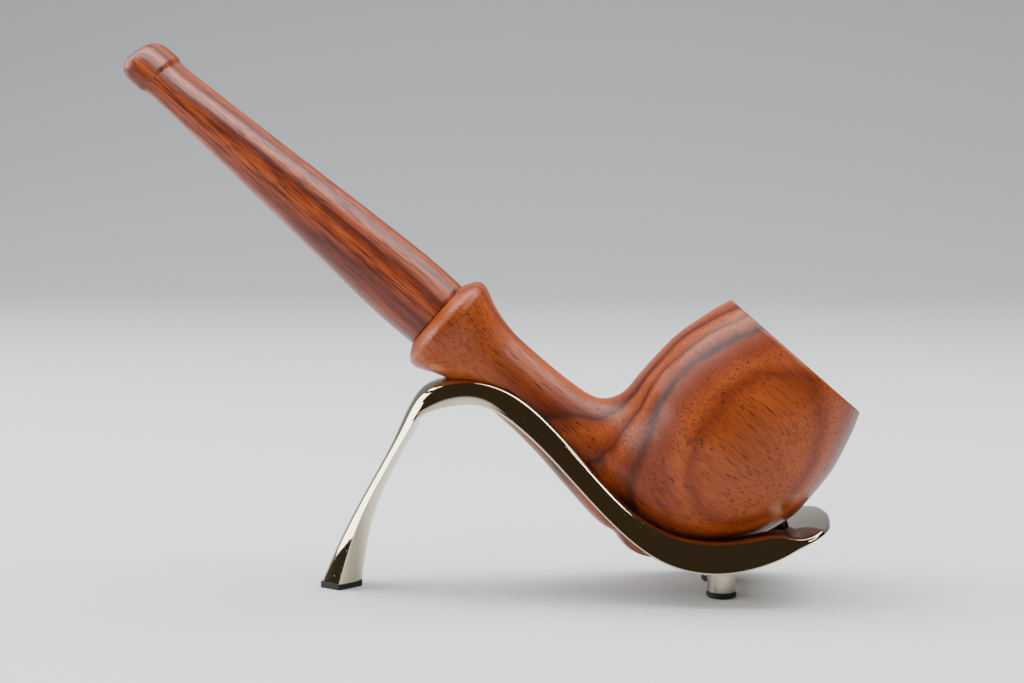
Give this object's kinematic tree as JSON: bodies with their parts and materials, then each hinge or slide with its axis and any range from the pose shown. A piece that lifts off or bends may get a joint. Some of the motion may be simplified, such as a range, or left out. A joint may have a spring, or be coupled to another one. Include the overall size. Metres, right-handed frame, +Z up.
{
  "type": "tobacco pipe on a stand",
  "caption": "Straight wooden tobacco pipe with a pull-out mouthpiece, resting in a curved cast metal stand with an open ring cradle, a single leg and rubber feet.",
  "frame": {"origin": "on the floor under the middle of the object's bounding box", "axes": "+Z up; +X from the mouthpiece towards the bowl, along the middle plane of pipe and stand; +Y across"},
  "size_m": [0.1326, 0.038, 0.0995],
  "materials": {
    "rosewood": "satin oiled rosewood",
    "stem_wood": "satin red-brown hardwood with fine straight grain",
    "plated_casting": "polished dark nickel plating",
    "stud_metal": "turned and plated",
    "foot_rubber": "matt black rubber",
    "tenon_metal": "turned aluminium",
    "filter_paper": "rolled white paper",
    "filter_cap": "pressed white cap"
  },
  "bodies": {
    "stand": {"stand_casting": "plated_casting", "leg_pad": "foot_rubber", "front_stud_near": "stud_metal", "front_pad_near": "foot_rubber", "front_stud_far": "stud_metal", "front_pad_far": "foot_rubber"},
    "pipe": {"stummel": "rosewood"},
    "filter": {"filter_tube": "filter_paper", "filter_core": "filter_paper", "filter_cap_back": "filter_cap", "filter_cap_front": "filter_cap"},
    "stem": {"mouthpiece": "stem_wood", "tenon": "tenon_metal"}
  },
  "joints": [
    {"name": "pipe_lift", "type": "slide", "parent": "stand", "child": "pipe", "axis": [0, 0, 1], "range_m": [0, 0.06]},
    {"name": "stem_pull", "type": "slide", "parent": "pipe", "child": "filter", "axis": [-0.7547, 0, 0.6561], "range_m": [0, 0.03]},
    {"name": "stem_twist", "type": "hinge", "parent": "filter", "child": "stem", "pos_m": [-0.0102, 0, 0.0501], "axis": [-0.7547, 0, 0.6561], "continuous": true}
  ]
}
